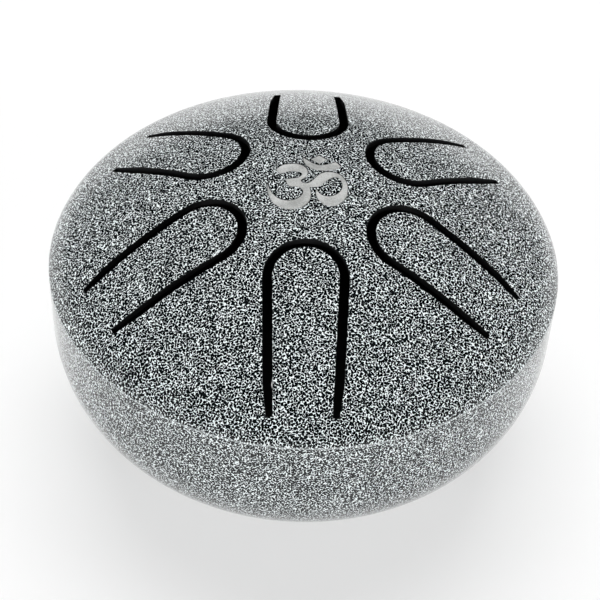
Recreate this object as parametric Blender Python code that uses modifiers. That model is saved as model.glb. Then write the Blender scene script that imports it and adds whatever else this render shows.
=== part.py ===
"""Small steel tongue drum: a pressed dome with six sprung tongues over a pressed bowl.

The model is in metres, +Z up. Its origin is the middle of the surface that the drum stands on,
and the longest tongue points along -Y.
"""
import math

import bmesh
import bpy
from mathutils import Matrix, Vector

MM = 0.001

# Outer shape of the closed drum
RIM_RADIUS = 40.0 * MM          # at the rim, the crease between the crown's shoulder and the side wall
CROWN_RISE = 16.0 * MM          # from the rim to the top of the crown
BODY_DEPTH = 29.4 * MM          # from the rim down to the flat base
SHOULDER_DROP = 1.8 * MM        # the shoulder takes the rim this far below the plain sphere's edge
SHOULDER_RADIUS = 9.5 * MM      # outer radius on which the crown turns down to the rim
WALL_DRAFT = math.radians(1.8)  # the side wall leans in towards the base
BOWL_CORNER = 20.0 * MM         # outer radius between the side wall and the base
SHEET = 1.0 * MM                # steel sheet of both shells

# Seam between the shells
SKIRT_DEPTH = 5.5 * MM          # from the rim down to the lower edge of the top shell
LIP_HEIGHT = 3.5 * MM           # how far the lip of the bowl stands up inside the skirt
CLEARANCE = 0.3 * MM            # between pieces that touch on the real drum

# Tongues, which lie on a ring round the crown. Their free ends are equally far from the axis, and
# the distance of each root from the rim sets its length and so its note. They are listed
# anticlockwise from the front.
ROOT_FROM_RIM = {
    "front": 2.8 * MM,
    "front_right": 5.4 * MM,
    "back_right": 7.6 * MM,
    "back": 9.0 * MM,
    "back_left": 7.5 * MM,
    "front_left": 4.3 * MM,
}
TONGUE_TIP_DISTANCE = 12.8 * MM  # from the axis to each tongue's free end
TONGUE_TIP_RADIUS = 5.0 * MM     # round free end
TONGUE_ROOT_WIDTH = 8.7 * MM     # width where the tongue joins the dome
HINGE_INSET = 0.15               # the bending axis lies this share of the length inside the root

# Slots that free the tongues
SLOT_WIDTH = 1.5 * MM
SLOT_END_WIDTH = 1.0 * MM
SLOT_TAPER = 4.0 * MM            # length of the narrowing stretch at each end

# Base of the bowl
SOUND_HOLE_RADIUS = 4.5 * MM
FOOT_COUNT = 4
FOOT_RADIUS = 4.0 * MM
FOOT_HEIGHT = 2.4 * MM
FOOT_INSET = 0.4 * MM            # from the edge of the flat base to each foot
FOOT_TAPER = 0.4 * MM            # the tread is this much smaller in radius than the stuck side
FOOT_EDGE = 0.5 * MM             # rounding round the tread

# Facets
TURN_STEPS = 72
CROWN_RINGS = 12
BEND_RINGS = 4
CORNER_RINGS = 8
TIP_SEGMENTS = 18
FOOT_STEPS = 24
MERGE_DISTANCE = 0.00001
SHARP_ANGLE = math.radians(18)   # edges that turn more than this are shaded sharp

# Finishes
PAINT_COLOUR = (0.33, 0.37, 0.38)
PAINT_ROUGHNESS = 0.45
PAINT_METALLIC = 0.35
RUBBER_COLOUR = (0.02, 0.02, 0.02)
RUBBER_ROUGHNESS = 0.8

BASE_Z = FOOT_HEIGHT + CLEARANCE
RIM_Z = BASE_Z + BODY_DEPTH
SEAM_Z = RIM_Z - SKIRT_DEPTH
SPHERE_RISE = CROWN_RISE - SHOULDER_DROP
CROWN_RADIUS = (RIM_RADIUS ** 2 + SPHERE_RISE ** 2) / (2 * SPHERE_RISE)
CROWN_CENTRE_Z = RIM_Z + CROWN_RISE - CROWN_RADIUS


def clear_scene():
    for thing in list(bpy.data.objects):
        bpy.data.objects.remove(thing, do_unlink=True)


def new_collection(name):
    group = bpy.data.collections.new(name)
    bpy.context.scene.collection.children.link(group)
    return group


def make_material(name, colour, roughness, metallic):
    material = bpy.data.materials.new(name)
    material.use_nodes = True
    shader = material.node_tree.nodes["Principled BSDF"]
    shader.inputs["Base Color"].default_value = (*colour, 1.0)
    shader.inputs["Roughness"].default_value = roughness
    shader.inputs["Metallic"].default_value = metallic
    material.diffuse_color = (*colour, 1.0)
    return material


def arc(centre, radius, start, end, segments):
    """Points on an arc in the profile plane; angles in radians from the +X direction."""
    angles = [start + (end - start) * i / segments for i in range(segments + 1)]
    return [(centre[0] + radius * math.cos(a), centre[1] + radius * math.sin(a)) for a in angles]


def wall_radius(z):
    """Outer radius of the drafted side wall at a height."""
    return RIM_RADIUS - (RIM_Z - z) * math.tan(WALL_DRAFT)


def crown_height(radius):
    """Height of the crown's outer face above a point at this distance from the axis."""
    return CROWN_CENTRE_Z + math.sqrt(CROWN_RADIUS ** 2 - radius ** 2)


def shoulder():
    """Centre, first and last angle of the arc that leaves the crown smoothly and ends at the rim."""
    reach = CROWN_RADIUS - SHOULDER_RADIUS
    rim_reach = math.hypot(RIM_RADIUS, RIM_Z - CROWN_CENTRE_Z)
    above_rim = math.acos((reach ** 2 + rim_reach ** 2 - SHOULDER_RADIUS ** 2) / (2 * reach * rim_reach))
    start = math.atan2(RIM_Z - CROWN_CENTRE_Z, RIM_RADIUS) + above_rim
    centre = (reach * math.cos(start), CROWN_CENTRE_Z + reach * math.sin(start))
    end = math.atan2(RIM_Z - centre[1], RIM_RADIUS - centre[0])
    return centre, start, end


def crown_profile():
    """Outer side of the top shell, from the top of the crown down to the skirt's lower edge."""
    centre, start, end = shoulder()
    crown = arc((0.0, CROWN_CENTRE_Z), CROWN_RADIUS, math.pi / 2, start, CROWN_RINGS)
    turn_down = arc(centre, SHOULDER_RADIUS, start, end, BEND_RINGS)
    skirt_edge = (wall_radius(SEAM_Z), SEAM_Z)
    return crown + turn_down[1:] + [skirt_edge]


def bowl_corner_centre():
    """Centre of the arc that touches the base plane and the side wall, which leans in by the draft."""
    z = BASE_Z + BOWL_CORNER
    return wall_radius(z) - BOWL_CORNER / math.cos(WALL_DRAFT), z


def bowl_profile():
    """Outer side of the bowl, from the top of its lip down to the edge of the sound hole."""
    shoulder_z = SEAM_Z - CLEARANCE
    lip_inset = (SHEET + CLEARANCE) / math.cos(WALL_DRAFT)
    lip_top_z = SEAM_Z + LIP_HEIGHT
    lip = [(wall_radius(lip_top_z) - lip_inset, lip_top_z),
           (wall_radius(shoulder_z) - lip_inset, shoulder_z)]
    corner = arc(bowl_corner_centre(), BOWL_CORNER, -WALL_DRAFT, -math.pi / 2, CORNER_RINGS)
    shoulder = (wall_radius(shoulder_z), shoulder_z)
    return lip + [shoulder] + corner + [(SOUND_HOLE_RADIUS, BASE_Z)]


def profile_mesh(name, points):
    """An open chain of edges in the XZ plane, to be turned about the Z axis."""
    mesh = bpy.data.meshes.new(name)
    bm = bmesh.new()
    verts = [bm.verts.new((x, 0.0, z)) for x, z in points]
    for first, second in zip(verts, verts[1:]):
        bm.edges.new((first, second))
    bm.to_mesh(mesh)
    bm.free()
    return mesh


def add_screw(thing, steps):
    turn = thing.modifiers.new("turn", "SCREW")
    turn.axis = "Z"
    turn.angle = math.tau
    turn.steps = steps
    turn.render_steps = steps
    turn.use_merge_vertices = True
    turn.merge_threshold = MERGE_DISTANCE
    turn.use_smooth_shade = True


def turned_sheet(name, outer_profile, group, material):
    """A pressed sheet-metal shell: its outer face turned, and the sheet's thickness inside it."""
    thing = bpy.data.objects.new(name, profile_mesh(name, outer_profile))
    group.objects.link(thing)
    thing.data.materials.append(material)
    add_screw(thing, TURN_STEPS)
    wall = thing.modifiers.new("sheet", "SOLIDIFY")
    wall.thickness = SHEET
    wall.offset = -1.0
    wall.use_even_offset = True
    wall.use_quality_normals = True
    return thing


def add_cut(thing, cutter, operation):
    cut = thing.modifiers.new(cutter.name, "BOOLEAN")
    cut.operation = operation
    cut.object = cutter
    cut.solver = "EXACT"


def apply_modifiers(thing):
    """Turns the piece into its finished mesh, smooth apart from its cut and folded edges."""
    view = bpy.context.evaluated_depsgraph_get()
    finished = bpy.data.meshes.new_from_object(thing.evaluated_get(view))
    finished.name = thing.name
    thing.modifiers.clear()
    thing.data = finished
    finished.shade_smooth()
    finished.set_sharp_from_angle(angle=SHARP_ANGLE)


def outline_prism(name, outline, low, high, group):
    """An upright cutter over a flat outline, made as a filled 2D curve and welded."""
    curve = bpy.data.curves.new(name, "CURVE")
    curve.dimensions = "2D"
    curve.fill_mode = "BOTH"
    curve.extrude = (high - low) / 2
    spline = curve.splines.new("POLY")
    spline.points.add(len(outline) - 1)
    for point, (x, y) in zip(spline.points, outline):
        point.co = (x, y, 0.0, 1.0)
    spline.use_cyclic_u = True
    source = bpy.data.objects.new(name, curve)
    group.objects.link(source)
    view = bpy.context.evaluated_depsgraph_get()
    mesh = bpy.data.meshes.new_from_object(source.evaluated_get(view))
    bpy.data.objects.remove(source, do_unlink=True)
    bm = bmesh.new()
    bm.from_mesh(mesh)
    bmesh.ops.remove_doubles(bm, verts=bm.verts, dist=MERGE_DISTANCE)
    bmesh.ops.recalc_face_normals(bm, faces=bm.faces)
    bm.to_mesh(mesh)
    bm.free()
    cutter = bpy.data.objects.new(name, mesh)
    cutter.location = (0.0, 0.0, (low + high) / 2)
    cutter.hide_render = True
    cutter.display_type = "WIRE"
    group.objects.link(cutter)
    return cutter


class Tongue:
    """Plan of one tongue along its own +X axis, which points out from the drum's axis."""

    def __init__(self, index, place):
        self.name = "tongue_" + place
        self.turn = -math.pi / 2 + index * math.tau / len(ROOT_FROM_RIM)
        self.root = RIM_RADIUS - ROOT_FROM_RIM[place]
        self.length = self.root - TONGUE_TIP_DISTANCE
        self.tip_centre = TONGUE_TIP_DISTANCE + TONGUE_TIP_RADIUS
        # The straight sides run from the root's corners and are tangent to the round tip
        run = self.root - self.tip_centre
        half_root = TONGUE_ROOT_WIDTH / 2
        reach = math.hypot(run, half_root)
        self.side_angle = math.asin(TONGUE_TIP_RADIUS / reach) - math.atan2(half_root, run)

    def side_point(self, x, offset):
        """The point of the +Y side, moved out by offset, at a distance x from the axis."""
        slope = math.tan(self.side_angle)
        edge = (TONGUE_TIP_RADIUS + offset) / math.cos(self.side_angle)
        return (x, edge - (x - self.tip_centre) * slope)

    def tip_points(self, offset):
        """The round end from the -Y side to the +Y side, moved out by offset."""
        first = -math.pi / 2 + self.side_angle
        return arc((self.tip_centre, 0.0), TONGUE_TIP_RADIUS + offset,
                   first, -math.tau + math.pi / 2 - self.side_angle, TIP_SEGMENTS)

    def outline(self):
        """The tongue itself, which stops short of the dome at its root."""
        x, y = self.side_point(self.root - CLEARANCE / 2, 0.0)
        return self.tip_points(0.0) + [(x, y), (x, -y)]

    def window(self):
        """The opening in the dome: the slot's outer edge, closed across the root."""
        taper_x, taper_y = self.side_point(self.root - SLOT_TAPER, SLOT_WIDTH)
        end_x, end_y = self.side_point(self.root + CLEARANCE / 2, SLOT_END_WIDTH)
        return self.tip_points(SLOT_WIDTH) + [
            (taper_x, taper_y), (end_x, end_y), (end_x, -end_y), (taper_x, -taper_y)]

    def hinge(self):
        """Where the tongue bends: the middle of the sheet, a little inside the root."""
        x = self.root - HINGE_INSET * self.length
        lean = math.asin(x / CROWN_RADIUS)
        z = crown_height(x) - SHEET / 2 * math.cos(lean)
        return Matrix.Rotation(self.turn, 4, "Z") @ Vector((x - SHEET / 2 * math.sin(lean), 0.0, z))


def turned_outline(outline, turn):
    cosine, sine = math.cos(turn), math.sin(turn)
    return [(x * cosine - y * sine, x * sine + y * cosine) for x, y in outline]


def build_top(parts, cutters, paint):
    low = SEAM_Z
    high = RIM_Z + CROWN_RISE + SHEET
    top = turned_sheet("top_shell", crown_profile(), parts, paint)
    for index, place in enumerate(ROOT_FROM_RIM):
        plan = Tongue(index, place)
        window = outline_prism(plan.name + "_window", turned_outline(plan.window(), plan.turn),
                               low, high, cutters)
        add_cut(top, window, "DIFFERENCE")
        blank = outline_prism(plan.name + "_outline", turned_outline(plan.outline(), plan.turn),
                              low, high, cutters)
        tongue = turned_sheet(plan.name, crown_profile(), parts, paint)
        add_cut(tongue, blank, "INTERSECT")
        apply_modifiers(tongue)
        hinge = bpy.data.objects.new(plan.name + "_hinge", None)
        hinge.empty_display_size = TONGUE_TIP_RADIUS
        hinge.location = plan.hinge()
        hinge.rotation_euler = (0.0, 0.0, plan.turn)
        parts.objects.link(hinge)
        bpy.context.view_layer.update()
        tongue.parent = hinge
        tongue.matrix_parent_inverse = hinge.matrix_world.inverted()
    apply_modifiers(top)


def build_bowl(parts, paint):
    bowl = turned_sheet("bottom_shell", bowl_profile(), parts, paint)
    apply_modifiers(bowl)


def foot_profile():
    """Right half of a foot, from the middle of its stuck face round to the middle of its tread."""
    tread_radius = FOOT_RADIUS - FOOT_TAPER
    edge = arc((tread_radius - FOOT_EDGE, FOOT_EDGE), FOOT_EDGE, 0.0, -math.pi / 2, BEND_RINGS)
    return [(0.0, FOOT_HEIGHT), (FOOT_RADIUS, FOOT_HEIGHT)] + edge + [(0.0, 0.0)]


def build_feet(parts, rubber):
    shape = profile_mesh("foot", foot_profile())
    shape.materials.append(rubber)
    master = bpy.data.objects.new("foot_1", shape)
    parts.objects.link(master)
    add_screw(master, FOOT_STEPS)
    apply_modifiers(master)
    flat_radius, _ = bowl_corner_centre()
    ring = flat_radius - FOOT_INSET - FOOT_RADIUS
    for index in range(FOOT_COUNT):
        foot = master if index == 0 else bpy.data.objects.new(f"foot_{index + 1}", master.data)
        if index:
            parts.objects.link(foot)
        angle = (index + 0.5) * math.tau / FOOT_COUNT
        foot.location = (ring * math.cos(angle), ring * math.sin(angle), 0.0)


def build_drum():
    clear_scene()
    parts = new_collection("tongue_drum")
    cutters = new_collection("cutters")
    paint = make_material("hammertone_paint", PAINT_COLOUR, PAINT_ROUGHNESS, PAINT_METALLIC)
    rubber = make_material("foot_rubber", RUBBER_COLOUR, RUBBER_ROUGHNESS, 0.0)
    build_top(parts, cutters, paint)
    build_bowl(parts, paint)
    build_feet(parts, rubber)


build_drum()
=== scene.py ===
"""Small steel tongue drum in hammertone paint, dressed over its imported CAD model."""
import math

import bmesh
import bpy
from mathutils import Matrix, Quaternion, Vector


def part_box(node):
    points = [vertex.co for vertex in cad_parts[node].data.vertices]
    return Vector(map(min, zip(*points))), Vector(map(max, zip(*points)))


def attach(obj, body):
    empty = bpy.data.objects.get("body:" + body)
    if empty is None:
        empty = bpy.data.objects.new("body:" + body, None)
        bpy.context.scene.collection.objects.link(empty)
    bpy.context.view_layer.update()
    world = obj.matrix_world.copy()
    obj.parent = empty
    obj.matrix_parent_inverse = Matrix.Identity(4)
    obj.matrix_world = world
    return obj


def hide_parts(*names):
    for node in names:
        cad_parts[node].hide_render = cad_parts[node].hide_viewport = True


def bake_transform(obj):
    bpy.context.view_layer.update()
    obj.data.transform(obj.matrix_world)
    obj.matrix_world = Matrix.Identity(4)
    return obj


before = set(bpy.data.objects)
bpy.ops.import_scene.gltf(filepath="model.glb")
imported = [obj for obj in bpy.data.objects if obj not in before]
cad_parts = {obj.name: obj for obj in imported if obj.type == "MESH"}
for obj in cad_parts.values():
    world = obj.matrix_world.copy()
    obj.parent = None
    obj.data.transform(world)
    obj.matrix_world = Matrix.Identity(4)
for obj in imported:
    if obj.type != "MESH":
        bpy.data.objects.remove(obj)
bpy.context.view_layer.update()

# ---- Camera: a long lens that looks down on the drum at 44 degrees, from close by.
# It is turned a little about the drum's axis and about its own.
CAMERA_PLACE = Vector((-0.00603, -0.25983, 0.27792))
CAMERA_AIM = Vector((-0.00034, 0.00001, 0.02311))
CAMERA_LENS = 136.43
CAMERA_ROLL = math.radians(2.618)
NEAREST_SEEN = 0.01
FARTHEST_SEEN = 20.0

bpy.ops.object.select_all(action="DESELECT")
bpy.ops.object.camera_add(location=CAMERA_PLACE)
camera = bpy.context.object
camera.name = "camera"
camera.data.lens = CAMERA_LENS
camera.data.clip_start = NEAREST_SEEN
camera.data.clip_end = FARTHEST_SEEN
level = (CAMERA_AIM - CAMERA_PLACE).to_track_quat("-Z", "Y")
camera.rotation_euler = (level @ Quaternion((0.0, 0.0, 1.0), CAMERA_ROLL)).to_euler()
bpy.context.scene.camera = camera
bpy.context.scene.view_settings.view_transform = "Standard"

# ---- Studio: a matt white table, a white surround up to eye height with a darker ceiling, one
# large soft lamp high up behind the drum and a weaker one low down on each side of it.
FLOOR_SIZE = 3.0
TABLE_WHITE = (0.92, 0.92, 0.92)
TABLE_ROUGHNESS = 0.9
TABLE_GLOW = 0.6
PURE_WHITE = (1.0, 1.0, 1.0)
CEILING_GREY = 0.05
SURROUND_FADE = (-0.03, 0.15)
OVERHEAD_LAMP = {"place": (0.0, 1.0, 1.75), "size": 2.0, "power": 50.0}
LEFT_LAMP = {"place": (-1.4, -1.0, 0.3), "size": 0.6, "power": 17.0}
RIGHT_LAMP = {"place": (1.4, -1.0, 0.3), "size": 0.6, "power": 18.0}


def new_material(name, colour, roughness):
    """A material with a Principled shader; gives the material, its nodes, links and shader."""
    material = bpy.data.materials.new(name)
    material.use_nodes = True
    nodes, links = material.node_tree.nodes, material.node_tree.links
    shader = nodes["Principled BSDF"]
    shader.inputs["Base Color"].default_value = (*colour, 1.0)
    shader.inputs["Roughness"].default_value = roughness
    material.diffuse_color = (*colour, 1.0)
    return material, nodes, links, shader


def maths(nodes, links, operation, *values):
    """The result of one sum; each of its values is a number or another node's result."""
    node = nodes.new("ShaderNodeMath")
    node.operation = operation
    for slot, value in zip(node.inputs, values):
        if isinstance(value, float):
            slot.default_value = value
        else:
            links.new(value, slot)
    return node.outputs[0]


def mixed(nodes, links, share, first, second):
    """The first colour where share is 0, the second where it is 1, and tones in between."""
    node = nodes.new("ShaderNodeMix")
    node.data_type = "RGBA"
    node.inputs["A"].default_value = (*first, 1.0)
    node.inputs["B"].default_value = (*second, 1.0)
    links.new(share, node.inputs["Factor"])
    return node.outputs["Result"]


def graded(nodes, links, value, span, ends=(0.0, 1.0), curve="SMOOTHSTEP"):
    """Runs from one of the ends to the other while value runs over span."""
    node = nodes.new("ShaderNodeMapRange")
    node.interpolation_type = curve
    node.inputs["From Min"].default_value, node.inputs["From Max"].default_value = span
    node.inputs["To Min"].default_value, node.inputs["To Max"].default_value = ends
    links.new(value, node.inputs["Value"])
    return node.outputs["Result"]


def upward(nodes, links, direction):
    """The Z part of a direction or a place."""
    parts = nodes.new("ShaderNodeSeparateXYZ")
    links.new(direction, parts.inputs[0])
    return parts.outputs["Z"]


def seen_directly(nodes, links):
    """A result that is 1 for what the camera sees straight, in a gloss or through glass."""
    path = nodes.new("ShaderNodeLightPath")
    seen = path.outputs["Is Camera Ray"]
    for ray in ("Is Glossy Ray", "Is Transmission Ray"):
        seen = maths(nodes, links, "MAXIMUM", seen, path.outputs[ray])
    return seen


def add_lamp(name, place, size, power):
    """A square softbox that points at the drum."""
    bpy.ops.object.light_add(type="AREA", location=place)
    lamp = bpy.context.object
    lamp.name = name
    lamp.data.shape = "SQUARE"
    lamp.data.size = size
    lamp.data.energy = power
    lamp.visible_glossy = False
    lamp.rotation_euler = (CAMERA_AIM - Vector(place)).to_track_quat("-Z", "Y").to_euler()


table_top, nodes, links, shader = new_material("table_white", TABLE_WHITE, TABLE_ROUGHNESS)
shader.inputs["Specular IOR Level"].default_value = 0.0
seen = seen_directly(nodes, links)
links.new(mixed(nodes, links, seen, TABLE_WHITE, PURE_WHITE), shader.inputs["Base Color"])
glow = nodes.new("ShaderNodeEmission")
lit = nodes.new("ShaderNodeMixShader")
links.new(maths(nodes, links, "MULTIPLY", seen, TABLE_GLOW), lit.inputs[0])
links.new(shader.outputs[0], lit.inputs[1])
links.new(glow.outputs[0], lit.inputs[2])
links.new(lit.outputs[0], nodes["Material Output"].inputs["Surface"])
bpy.ops.mesh.primitive_plane_add(size=FLOOR_SIZE, location=(0.0, 0.0, 0.0))
floor = bpy.context.object
floor.name = "table"
floor.data.materials.append(table_top)

world = bpy.data.worlds.new("studio")
bpy.context.scene.world = world
world.use_nodes = True
nodes, links = world.node_tree.nodes, world.node_tree.links
height = upward(nodes, links, nodes.new("ShaderNodeTexCoord").outputs["Generated"])
surround = graded(nodes, links, height, SURROUND_FADE, (1.0, CEILING_GREY))
camera_ray = nodes.new("ShaderNodeLightPath").outputs["Is Camera Ray"]
links.new(maths(nodes, links, "MAXIMUM", surround, camera_ray), nodes["Background"].inputs["Color"])

add_lamp("lamp_overhead", **OVERHEAD_LAMP)
add_lamp("lamp_left", **LEFT_LAMP)
add_lamp("lamp_right", **RIGHT_LAMP)

# ---- Crown: the pressed steel dome, whose shoulder turns down to a crease at the rim, and the
# skirt below it. It is drawn as half a section, spun about the drum's axis and given the
# thickness of the sheet. Hammertone enamel covers it outside, and inside it is mill steel
# coloured near black, which is painted shade.
RIM_RADIUS = 0.040
RIM_Z = 0.0321
CROWN_RISE = 0.016
SHOULDER_DROP = 0.0018
SHOULDER_RADIUS = 0.0095
WALL_DRAFT = math.radians(1.8)
SHEET = 0.001
SPHERE_RISE = CROWN_RISE - SHOULDER_DROP
CROWN_RADIUS = (RIM_RADIUS ** 2 + SPHERE_RISE ** 2) / (2 * SPHERE_RISE)
CROWN_CENTRE_Z = RIM_Z + CROWN_RISE - CROWN_RADIUS
SEAM_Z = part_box("top_shell")[0].z
# The crease is rounded, and a ring just below it keeps the wall straight
RIM_ROUNDING = 0.0002
RIM_ROUNDING_STEPS = 3
RIM_SUPPORT = 0.0006

CROWN_STEPS = 360
SHOULDER_STEPS = 12
SHOULDER_MARGIN = 0.0003
TURN_STEPS = 180
SAME_SPOT = 0.000001
MERGE_DISTANCE = 0.00001
SHARP_ANGLE = math.radians(30)

GROUND_BLACK = (0.002, 0.004, 0.005)
FLAKE_SILVER = (0.89, 0.955, 0.965)
ENAMEL_ROUGHNESS = 0.42
ENAMEL_SHEEN = 0.05
LACQUER_IOR = 1.40
LACQUER_ROUGHNESS = 0.12
SPECK_SCALE = 2200.0
RIPPLE_SCALE = 1.8 * SPECK_SCALE
RAGGEDNESS = 0.40
NET_EDGE = (-0.148, -0.160)
NET_RELIEF = {"strength": 0.35, "distance": 0.00004}
# Painted highlight: a thin band of extra silver along the rim crease stands in for its reflection
RIM_HIGHLIGHT_WIDTH = 0.00025
RIM_HIGHLIGHT_SHARE = 0.35

# Painted shade: the inside and the slot walls are coloured near black, darker than bare steel
PAINTED_SHADE_STEEL = (0.012, 0.012, 0.013)
PAINTED_SHADE_MOTTLE_DARK = (0.006, 0.006, 0.007)
PAINTED_SHADE_MOTTLE_LIGHT = (0.020, 0.020, 0.021)
INSIDE_ROUGHNESS = 0.7
MOTTLE_SCALE = 240.0
MOTTLE_DETAIL = 3.0


def noise(nodes, links, place, scale, detail=2.0):
    """A cloudy pattern between 0 and 1."""
    node = nodes.new("ShaderNodeTexNoise")
    node.inputs["Scale"].default_value = scale
    node.inputs["Detail"].default_value = detail
    links.new(place, node.inputs["Vector"])
    return node.outputs["Fac"]


def raise_relief(nodes, links, shader, pattern, strength, distance):
    """Raises the surface where the pattern is lighter."""
    relief = nodes.new("ShaderNodeBump")
    relief.inputs["Strength"].default_value = strength
    relief.inputs["Distance"].default_value = distance
    links.new(pattern, relief.inputs["Height"])
    links.new(relief.outputs["Normal"], shader.inputs["Normal"])


def hammertone():
    """Silver enamel drawn into a fine net over black ground, with a painted highlight of extra
    silver along the rim crease.
    """
    material, nodes, links, shader = new_material("hammertone_enamel", FLAKE_SILVER,
                                                  ENAMEL_ROUGHNESS)
    place = nodes.new("ShaderNodeTexCoord").outputs["Object"]
    cells = nodes.new("ShaderNodeTexVoronoi")
    cells.feature = "DISTANCE_TO_EDGE"
    cells.inputs["Scale"].default_value = SPECK_SCALE
    links.new(place, cells.inputs["Vector"])
    ripple = noise(nodes, links, place, RIPPLE_SCALE, 0.0)
    ragged = maths(nodes, links, "MULTIPLY_ADD", ripple, -RAGGEDNESS, cells.outputs["Distance"])
    net = graded(nodes, links, ragged, NET_EDGE)
    above_rim = maths(nodes, links, "SUBTRACT", upward(nodes, links, place), RIM_Z)
    from_rim = maths(nodes, links, "ABSOLUTE", above_rim)
    # Painted highlight: more silver near the rim crease, standing in for the reflection there
    painted_rim_highlight = graded(nodes, links, from_rim, (0.0, RIM_HIGHLIGHT_WIDTH), (RIM_HIGHLIGHT_SHARE, 0.0))
    silver_and_highlight = maths(nodes, links, "MAXIMUM", net, painted_rim_highlight)
    links.new(mixed(nodes, links, silver_and_highlight, GROUND_BLACK, FLAKE_SILVER), shader.inputs["Base Color"])
    raise_relief(nodes, links, shader, net, **NET_RELIEF)
    shader.inputs["Specular IOR Level"].default_value = ENAMEL_SHEEN
    shader.inputs["Coat Weight"].default_value = 1.0
    shader.inputs["Coat IOR"].default_value = LACQUER_IOR
    shader.inputs["Coat Roughness"].default_value = LACQUER_ROUGHNESS
    return material


def steel_in_painted_shade():
    """Rolled steel coloured near black as painted shade, with faint mottling, as inside the shells
    and on the cut slots.
    """
    material, nodes, links, shader = new_material("steel_in_painted_shade", PAINTED_SHADE_STEEL, INSIDE_ROUGHNESS)
    place = nodes.new("ShaderNodeTexCoord").outputs["Object"]
    mottle = noise(nodes, links, place, MOTTLE_SCALE, MOTTLE_DETAIL)
    links.new(mixed(nodes, links, mottle, PAINTED_SHADE_MOTTLE_DARK, PAINTED_SHADE_MOTTLE_LIGHT),
              shader.inputs["Base Color"])
    return material


def take(thing):
    """Makes one piece the only selected and active one."""
    bpy.ops.object.select_all(action="DESELECT")
    thing.select_set(True)
    bpy.context.view_layer.objects.active = thing


def edit(thing):
    """Opens one piece for editing by its points, with nothing selected."""
    take(thing)
    bpy.ops.object.mode_set(mode="EDIT")
    bpy.ops.mesh.select_mode(type="VERT")
    bpy.ops.mesh.select_all(action="DESELECT")


def pick(thing, test):
    """Selects the points of the piece in edit mode that pass the test."""
    shape = bmesh.from_edit_mesh(thing.data)
    for point in shape.verts:
        point.select = test(point.co)
    shape.select_flush_mode()
    bmesh.update_edit_mesh(thing.data)


def near(spot):
    return lambda point: (point - spot).length < SAME_SPOT


def extrude_to(thing, start, end):
    """Draws a straight line from the point at start to end."""
    pick(thing, near(start))
    bpy.ops.mesh.extrude_vertices_move(TRANSFORM_OT_translate={"value": end - start})


def drawn_arc(name, centre, radius, vertices, keep):
    """Part of a circle in the section plane, as the start of a section line in edit mode."""
    bpy.ops.object.select_all(action="DESELECT")
    bpy.ops.mesh.primitive_circle_add(vertices=vertices, radius=radius, location=centre,
                                      rotation=(math.pi / 2, 0.0, 0.0))
    bpy.ops.object.transform_apply(location=True, rotation=True, scale=True)
    thing = bpy.context.object
    thing.name = name
    edit(thing)
    pick(thing, lambda point: not keep(point))
    bpy.ops.mesh.delete(type="VERT")
    return thing


def spin_section(thing, steps):
    """Spins the section line about the drum's axis and closes the turn."""
    bpy.ops.mesh.select_all(action="SELECT")
    bpy.ops.mesh.spin(steps=steps, angle=math.tau, center=(0.0, 0.0, 0.0), axis=(0.0, 0.0, 1.0))
    bpy.ops.mesh.select_all(action="SELECT")
    bpy.ops.mesh.remove_doubles(threshold=MERGE_DISTANCE)
    bpy.ops.mesh.normals_make_consistent(inside=False)
    bpy.ops.object.mode_set(mode="OBJECT")


def apply_modifier(thing, name):
    take(thing)
    bpy.ops.object.modifier_apply(modifier=name)


def give_thickness(thing, thickness):
    """Thickens a turned face inwards; its inner side and edges are the piece's second material."""
    wall = thing.modifiers.new("sheet", "SOLIDIFY")
    wall.thickness = thickness
    wall.offset = -1.0
    wall.use_even_offset = True
    wall.use_quality_normals = True
    wall.material_offset = 1
    wall.material_offset_rim = 1
    apply_modifier(thing, wall.name)


def cut(thing, cutter, operation):
    """Cuts one piece with another, which gives the cut faces its own material."""
    shape = thing.modifiers.new("cut", "BOOLEAN")
    shape.operation = operation
    shape.object = cutter
    shape.solver = "EXACT"
    shape.material_mode = "TRANSFER"
    apply_modifier(thing, shape.name)


def smooth(thing):
    take(thing)
    bpy.ops.object.shade_smooth_by_angle(angle=SHARP_ANGLE)


def duplicate(thing, name):
    """A copy of the piece with its own mesh."""
    take(thing)
    bpy.ops.object.duplicate(linked=False)
    bpy.context.object.name = name
    return bpy.context.object


def delete(thing):
    take(thing)
    bpy.ops.object.delete()


enamel = hammertone()
# Near-black steel for the inner sides and cut faces: painted shade
inside = steel_in_painted_shade()
rim = Vector((RIM_RADIUS, 0.0, RIM_Z))
below_rim = Vector((RIM_RADIUS - RIM_SUPPORT * math.tan(WALL_DRAFT), 0.0, RIM_Z - RIM_SUPPORT))
skirt_edge = Vector((RIM_RADIUS - (RIM_Z - SEAM_Z) * math.tan(WALL_DRAFT), 0.0, SEAM_Z))
# The shoulder touches the sphere and ends at the rim, which fixes where its centre is
reach = CROWN_RADIUS - SHOULDER_RADIUS
rim_reach = math.hypot(RIM_RADIUS, RIM_Z - CROWN_CENTRE_Z)
above_rim = math.acos((reach ** 2 + rim_reach ** 2 - SHOULDER_RADIUS ** 2)
                      / (2 * reach * rim_reach))
shoulder_start = math.atan2(RIM_Z - CROWN_CENTRE_Z, RIM_RADIUS) + above_rim
shoulder_centre = Vector((reach * math.cos(shoulder_start), 0.0,
                          CROWN_CENTRE_Z + reach * math.sin(shoulder_start)))
shoulder_end = math.atan2(RIM_Z - shoulder_centre.z, RIM_RADIUS - shoulder_centre.x)
shoulder_z = CROWN_CENTRE_Z + CROWN_RADIUS * math.sin(shoulder_start)
crown = drawn_arc("crown", (0.0, 0.0, CROWN_CENTRE_Z), CROWN_RADIUS, CROWN_STEPS,
                  lambda point: point.x > -SAME_SPOT and point.z > shoulder_z + SHOULDER_MARGIN)
spot = min((point.co.copy() for point in bmesh.from_edit_mesh(crown.data).verts),
           key=lambda point: point.z)
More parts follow.
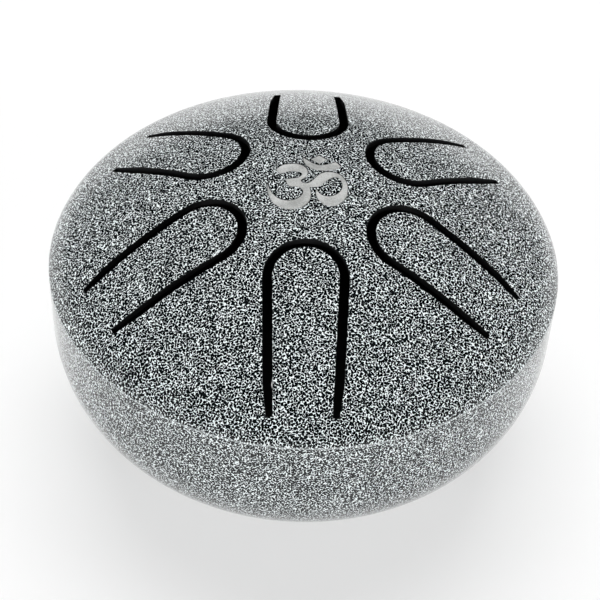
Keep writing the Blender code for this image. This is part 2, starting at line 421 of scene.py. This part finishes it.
for step in range(SHOULDER_STEPS + 1):
    angle = shoulder_start + (shoulder_end - shoulder_start) * step / SHOULDER_STEPS
    corner = shoulder_centre + SHOULDER_RADIUS * Vector((math.cos(angle), 0.0, math.sin(angle)))
    extrude_to(crown, spot, corner)
    spot = corner
extrude_to(crown, rim, below_rim)
extrude_to(crown, below_rim, skirt_edge)
pick(crown, near(rim))
bpy.ops.mesh.bevel(offset=RIM_ROUNDING, segments=RIM_ROUNDING_STEPS, affect="VERTICES")
spin_section(crown, TURN_STEPS)
crown.data.materials.append(enamel)
crown.data.materials.append(inside)
give_thickness(crown, SHEET)

# ---- Tongues: six strips of the crown's own steel, each freed on three sides by a U-shaped slot
# and still joined at its root, where it bends. The slots are cut straight down through the
# dome, so their walls stay bare; their near-black colour is painted shade.
TIP_DISTANCE = 0.0128
TIP_RADIUS = 0.005
ROOT_WIDTH = 0.0087
SLOT_WIDTH = 0.0015
SLOT_END_WIDTH = 0.001
SLOT_TAPER = 0.004
ROOT_FROM_RIM = {
    "front": 0.0028,
    "front_right": 0.0054,
    "back_right": 0.0076,
    "back": 0.0090,
    "back_left": 0.0075,
    "front_left": 0.0043,
}
TONGUE_STEP = math.tau / len(ROOT_FROM_RIM)

TIP_STEPS = 96
CUTTER_HEIGHT = 0.03
HALF_MARGIN = 0.0001


def upright_cutter(name, radius, corners, turn):
    """A tall block over one outline: a round end near the axis and the corners of one side."""
    tip_centre = Vector((TIP_DISTANCE + TIP_RADIUS, 0.0, SEAM_Z))
    bpy.ops.object.select_all(action="DESELECT")
    bpy.ops.mesh.primitive_circle_add(vertices=TIP_STEPS, radius=radius, location=tip_centre)
    bpy.ops.object.transform_apply(location=True, rotation=True, scale=True)
    block = bpy.context.object
    block.name = name
    edit(block)
    pick(block, lambda point: point.x > tip_centre.x + HALF_MARGIN)
    bpy.ops.mesh.delete(type="VERT")
    for side in (1, -1):
        spot = tip_centre + Vector((0.0, side * radius, 0.0))
        for x, y in corners:
            corner = Vector((x, side * y, SEAM_Z))
            extrude_to(block, spot, corner)
            spot = corner
    bpy.ops.mesh.select_all(action="SELECT")
    bpy.ops.mesh.edge_face_add()
    bpy.ops.mesh.extrude_region_move(TRANSFORM_OT_translate={"value": (0.0, 0.0, CUTTER_HEIGHT)})
    bpy.ops.mesh.select_all(action="SELECT")
    bpy.ops.mesh.normals_make_consistent(inside=False)
    # With no window, rotate turns the other way
    bpy.ops.transform.rotate(value=-turn, orient_axis="Z", center_override=(0.0, 0.0, 0.0))
    bpy.ops.object.mode_set(mode="OBJECT")
    # The cut faces take the near-black steel, painted shade in the slots
    block.data.materials.append(inside)
    return block


def side_y(x, root, offset):
    """Half-width of a tongue at a distance from the axis, with its outline moved out."""
    run = root - TIP_DISTANCE - TIP_RADIUS
    half_root = ROOT_WIDTH / 2
    lean = math.asin(TIP_RADIUS / math.hypot(run, half_root)) - math.atan2(half_root, run)
    return (TIP_RADIUS + offset) / math.cos(lean) - (x - TIP_DISTANCE - TIP_RADIUS) * math.tan(lean)


def join(things, name):
    """Makes one piece of several, which stay separate blocks inside it."""
    take(things[0])
    for thing in things:
        thing.select_set(True)
    bpy.ops.object.join()
    bpy.context.object.name = name
    return bpy.context.object


windows, blanks = [], []
for index, (place, root_from_rim) in enumerate(ROOT_FROM_RIM.items()):
    turn = -math.pi / 2 + index * TONGUE_STEP
    root = RIM_RADIUS - root_from_rim
    taper = root - SLOT_TAPER
    windows.append(upright_cutter("window_" + place, TIP_RADIUS + SLOT_WIDTH, [
        (taper, side_y(taper, root, SLOT_WIDTH)),
        (root, side_y(root, root, SLOT_END_WIDTH))], turn))
    blanks.append(upright_cutter("blank_" + place, TIP_RADIUS, [
        (root, side_y(root, root, 0.0))], turn))
window_cutter = join(windows, "window_cutter")
blank_cutter = join(blanks, "blank_cutter")
strips = duplicate(crown, "strips")
cut(strips, blank_cutter, "INTERSECT")
cut(crown, window_cutter, "DIFFERENCE")
delete(window_cutter)
delete(blank_cutter)
smooth(crown)
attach(crown, "shell")
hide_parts("top_shell")

smooth(strips)
bpy.ops.object.mode_set(mode="EDIT")
bpy.ops.mesh.separate(type="LOOSE")
bpy.ops.object.mode_set(mode="OBJECT")
for strip in list(bpy.context.selected_objects):
    middle = sum((point.co for point in strip.data.vertices), Vector()) / len(strip.data.vertices)
    index = round((math.atan2(middle.y, middle.x) + math.pi / 2) / TONGUE_STEP) % len(ROOT_FROM_RIM)
    place = list(ROOT_FROM_RIM)[index]
    strip.name = "strip_" + place
    root = RIM_RADIUS - ROOT_FROM_RIM[place]
    height = Vector((0.0, 0.0, middle.z))
    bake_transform(strip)
    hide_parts("tongue_" + place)

# ---- Sign: the Om sign etched through the enamel at the top of the dome, down to bare steel.
# A thin near-black ring round it is painted shade along the edge of the etching. It is drawn
# with a pen in plan, in millimetres from the drum's axis, and a third value of 1 marks a sharp
# corner.
SIGN_BODY = [
    (-4.60, 3.62, 1), (-3.95, 4.30), (-3.05, 4.62), (-2.15, 4.68), (-1.25, 4.50), (-0.55, 4.02),
    (-0.10, 3.25), (-0.05, 2.30), (-0.45, 1.45), (-1.08, 0.75, 1), (-0.85, 0.22, 1), (-0.30, 0.05),
    (0.25, 0.22), (0.85, 0.85), (1.50, 1.85), (2.30, 2.65), (3.30, 2.97), (4.20, 2.90),
    (5.05, 2.40), (5.70, 1.45), (6.05, 0.40), (6.12, -0.90), (5.90, -2.35), (5.25, -3.60),
    (4.40, -4.42), (3.60, -4.68), (2.70, -4.50), (1.95, -3.80), (1.45, -2.80), (1.28, -1.90),
    (1.37, -1.20, 1), (1.70, -1.90), (2.30, -2.48), (3.05, -2.66), (3.85, -2.45), (4.65, -1.85),
    (5.15, -1.05), (5.35, -0.15), (5.25, 0.80), (4.85, 1.55), (4.25, 1.83), (3.60, 1.58),
    (2.95, 0.92), (2.35, 0.12), (1.85, -0.48), (1.20, -0.74), (0.30, -0.82, 1), (0.47, -1.80),
    (0.48, -2.80), (0.20, -3.95), (-0.50, -4.85), (-1.50, -5.42), (-2.70, -5.64), (-3.80, -5.32),
    (-4.80, -4.58), (-5.50, -3.55), (-5.90, -2.35), (-6.08, -1.10), (-6.10, -0.10, 1),
    (-5.75, -1.25), (-5.20, -2.40), (-4.35, -3.35), (-3.40, -3.75), (-2.40, -3.75),
    (-1.50, -3.35), (-0.85, -2.60), (-0.65, -1.80), (-0.95, -1.12), (-1.60, -0.76),
    (-2.62, -0.74, 1), (-3.05, -0.15), (-3.32, 0.92, 1), (-2.50, 1.10), (-1.65, 1.28),
    (-1.00, 1.78), (-0.85, 2.30), (-1.25, 2.72), (-2.10, 2.83), (-3.20, 2.72), (-4.22, 2.26, 1),
    (-4.85, 3.28, 1)]
SIGN_CRESCENT = [
    (-0.68, 6.35, 1), (-0.62, 5.50), (-0.25, 4.60), (0.40, 3.80), (1.35, 3.34), (2.50, 3.26),
    (3.60, 3.45), (4.45, 3.88), (5.12, 4.55, 1), (4.33, 5.62, 1), (3.55, 5.15), (2.70, 4.72),
    (1.80, 4.55), (0.95, 4.85), (0.20, 5.45)]
SIGN_POINT = [(0.52, 5.98, 1), (1.75, 7.02, 1), (2.98, 6.02, 1), (1.80, 4.90, 1)]
MILLIMETRE = 0.001
SIGN_REACH = 0.0085
# Width of the near-black ring round the sign, painted shade along the etched edge
PAINTED_SHADE_RING = 0.00010
ETCH_DEPTH = 0.00014
STEEL_BELOW_ENAMEL = 0.00007
STEEL_LEAF = 2 * ETCH_DEPTH

PEN_DEPTH = 0.002
PEN_STEPS = 6
PEN_MERGE = 0.000002
LEAF_STEPS = 720
ABOVE_DOME = 0.001

BARE_STEEL = (0.62, 0.63, 0.62)
BARE_STEEL_DARK = (0.44, 0.45, 0.44)
BARE_STEEL_LIGHT = (0.80, 0.81, 0.80)
BARE_ROUGHNESS = 0.5
BARE_METAL = 0.35
GRAIN_SCALE = 4500.0
CLOUD_SCALE = 350.0
TONE_SPAN = (0.7, 1.3)
GRAIN_RELIEF = {"strength": 0.3, "distance": 0.00001}


def etched_steel():
    """Bare steel roughened by etching, with a fine grain and faint cloudiness."""
    material, nodes, links, shader = new_material("etched_steel", BARE_STEEL, BARE_ROUGHNESS)
    place = nodes.new("ShaderNodeTexCoord").outputs["Object"]
    grain = noise(nodes, links, place, GRAIN_SCALE)
    cloud = noise(nodes, links, place, CLOUD_SCALE)
    both = maths(nodes, links, "ADD", grain, cloud)
    tone = graded(nodes, links, both, TONE_SPAN, curve="LINEAR")
    links.new(mixed(nodes, links, tone, BARE_STEEL_DARK, BARE_STEEL_LIGHT),
              shader.inputs["Base Color"])
    raise_relief(nodes, links, shader, grain, **GRAIN_RELIEF)
    shader.inputs["Metallic"].default_value = BARE_METAL
    return material


def drawn_block(name, swell):
    """A block through the top of the dome, over the sign's outline moved out by swell."""
    bpy.ops.object.select_all(action="DESELECT")
    bpy.ops.curve.primitive_bezier_circle_add(location=(0.0, 0.0, RIM_Z + CROWN_RISE))
    block = bpy.context.object
    block.name = name
    pen = block.data
    pen.splines.clear()
    pen.dimensions = "2D"
    pen.fill_mode = "BOTH"
    pen.extrude = PEN_DEPTH
    pen.offset = swell
    for outline in (SIGN_BODY, SIGN_CRESCENT, SIGN_POINT):
        stroke = pen.splines.new("BEZIER")
        stroke.resolution_u = PEN_STEPS
        stroke.use_cyclic_u = True
        stroke.bezier_points.add(len(outline) - 1)
        for knot, (x, y, *corner) in zip(stroke.bezier_points, outline):
            knot.co = (x * MILLIMETRE, y * MILLIMETRE, 0.0)
            knot.handle_left_type = knot.handle_right_type = "VECTOR" if corner else "AUTO"
    bpy.ops.object.convert(target="MESH")
    bpy.ops.object.transform_apply(location=True, rotation=True, scale=True)
    edit(block)
    bpy.ops.mesh.select_all(action="SELECT")
    bpy.ops.mesh.remove_doubles(threshold=PEN_MERGE)
    bpy.ops.mesh.normals_make_consistent(inside=False)
    bpy.ops.object.mode_set(mode="OBJECT")
    return block


def dome_leaf(name, outer, inner):
    """A thin leaf that follows the dome, between two depths below its outer face."""
    leaf = drawn_arc(name, (0.0, 0.0, CROWN_CENTRE_Z), CROWN_RADIUS - outer, LEAF_STEPS,
                     lambda point: -SAME_SPOT < point.x < SIGN_REACH and point.z > RIM_Z)
    spin_section(leaf, TURN_STEPS)
    give_thickness(leaf, inner - outer)
    return leaf


def finish(thing, material):
    """Covers the whole piece with one material."""
    thing.data.materials.clear()
    thing.data.materials.append(material)


pocket = drawn_block("pocket", PAINTED_SHADE_RING)
cut(pocket, dome_leaf("pocket_depth", -ABOVE_DOME, ETCH_DEPTH), "INTERSECT")
# The pocket's walls and the ring round the sign take the near-black steel: painted shade along the
# etched edge
finish(pocket, inside)
cut(crown, pocket, "DIFFERENCE")
smooth(crown)
sign = drawn_block("sign", 0.0)
cut(sign, dome_leaf("sign_leaf", STEEL_BELOW_ENAMEL, STEEL_LEAF), "INTERSECT")
finish(sign, etched_steel())
smooth(sign)
for tool in ("pocket", "pocket_depth", "sign_leaf"):
    delete(bpy.data.objects[tool])
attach(sign, "shell")

# ---- Bowl: the pressed lower shell, which closes the drum. It has a flat base with the sound
# hole in its middle, and its lip stands inside the skirt. The seam is welded, ground and
# painted over, so the wall runs on with no line.
BOWL_CORNER = 0.020
SOUND_HOLE_RADIUS = 0.0045
LIP_HEIGHT = 0.0035
LIP_CLEARANCE = 0.0003
BASE_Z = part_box("bottom_shell")[0].z
CORNER_STEPS = 240


def wall_point(z, inset=0.0):
    """A point of the side wall in the section plane, or so far inside it."""
    return Vector((RIM_RADIUS - (RIM_Z - z) * math.tan(WALL_DRAFT) - inset, 0.0, z))


corner_centre = wall_point(BASE_Z + BOWL_CORNER, BOWL_CORNER / math.cos(WALL_DRAFT))
bowl = drawn_arc("bowl", corner_centre, BOWL_CORNER, CORNER_STEPS,
                 lambda point: point.x > corner_centre.x - SAME_SPOT
                 and point.z < corner_centre.z - BOWL_CORNER * math.sin(WALL_DRAFT))
points = [point.co.copy() for point in bmesh.from_edit_mesh(bowl.data).verts]
wall_top = wall_point(SEAM_Z)
lip_inset = (SHEET + LIP_CLEARANCE) / math.cos(WALL_DRAFT)
lip_foot = wall_point(SEAM_Z - LIP_CLEARANCE, lip_inset)
lip_top = wall_point(SEAM_Z + LIP_HEIGHT, lip_inset)
hole_edge = Vector((SOUND_HOLE_RADIUS, 0.0, BASE_Z))
extrude_to(bowl, max(points, key=lambda spot: spot.z), wall_top)
extrude_to(bowl, wall_top, lip_foot)
extrude_to(bowl, lip_foot, lip_top)
extrude_to(bowl, min(points, key=lambda spot: spot.x), hole_edge)
spin_section(bowl, TURN_STEPS)
bowl.data.materials.append(enamel)
bowl.data.materials.append(inside)
give_thickness(bowl, SHEET)
smooth(bowl)
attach(bowl, "shell")
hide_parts("bottom_shell")

# ---- Feet: four round pads of black rubber, moulded and stuck under the flat of the bowl, so
# that the shell stands clear of the table and rings freely.
RUBBER_BLACK = (0.018, 0.018, 0.019)
RUBBER_WORN = (0.035, 0.035, 0.036)
RUBBER_ROUGHNESS = 0.75
MOULD_SCALE = 4000.0
MOULD_RELIEF = {"strength": 0.4, "distance": 0.00003}


def moulded_rubber():
    """Matt black rubber with the fine grain of its mould."""
    material, nodes, links, shader = new_material("moulded_rubber", RUBBER_BLACK,
                                                  RUBBER_ROUGHNESS)
    place = nodes.new("ShaderNodeTexCoord").outputs["Object"]
    grain = noise(nodes, links, place, MOULD_SCALE)
    raise_relief(nodes, links, shader, grain, **MOULD_RELIEF)
    links.new(mixed(nodes, links, grain, RUBBER_BLACK, RUBBER_WORN), shader.inputs["Base Color"])
    return material


rubber = moulded_rubber()
for number in range(1, 5):
    finish(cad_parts[f"foot_{number}"], rubber)
